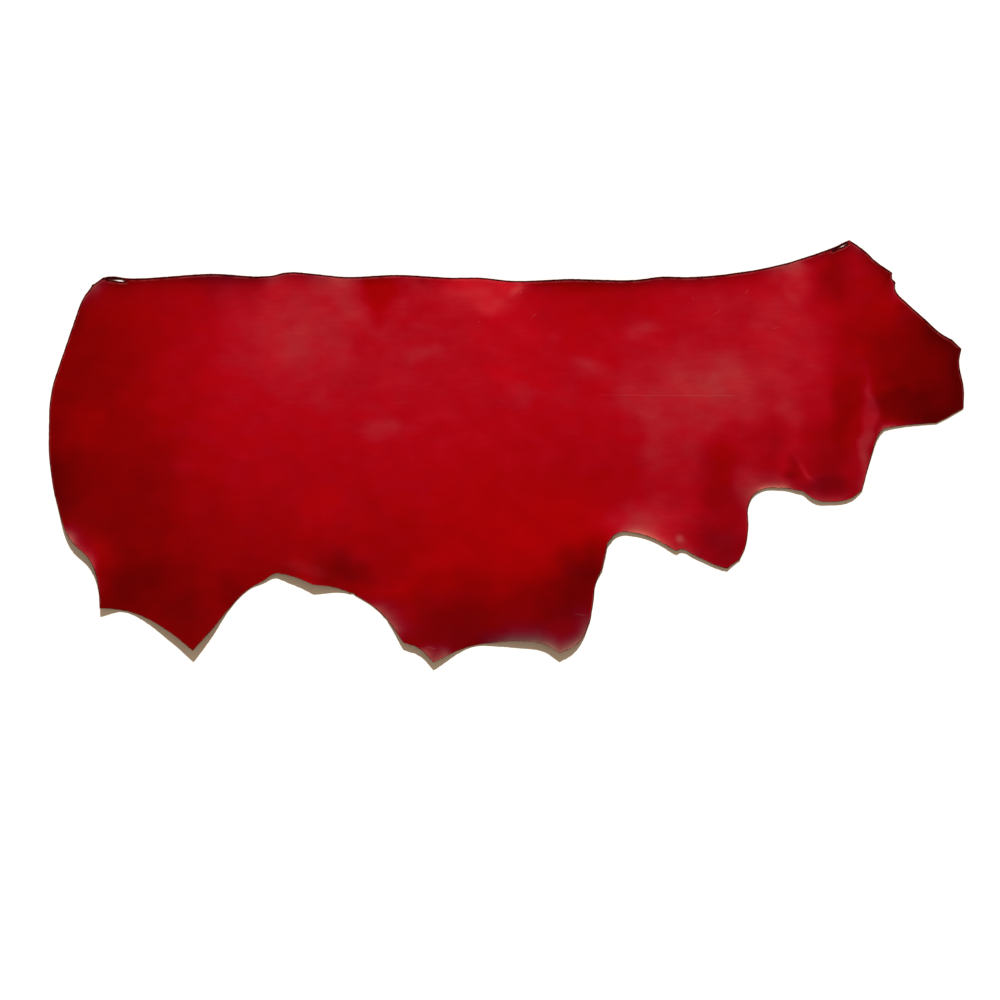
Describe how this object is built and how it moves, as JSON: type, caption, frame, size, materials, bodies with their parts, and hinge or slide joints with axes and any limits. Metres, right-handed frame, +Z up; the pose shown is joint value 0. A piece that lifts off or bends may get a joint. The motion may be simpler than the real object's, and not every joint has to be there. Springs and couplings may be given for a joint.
{
  "type": "leather hide",
  "caption": "Tanned cattle side lying flat, grain side up: cut straight along the backbone, with its natural belly edge, for a maker to cut leather pieces from.",
  "frame": {"origin": "on the surface that the hide lies on, under the middle of its box", "axes": "+X from the butt end to the neck end, +Y from the belly edge to the backbone edge, +Z up, from the flesh side to the grain side"},
  "size_m": [2.563, 1.182, 0.0324],
  "materials": {
    "grain_leather": "waxed semi-gloss"
  },
  "bodies": {
    "root": {"hide": "grain_leather"}
  },
  "joints": []
}
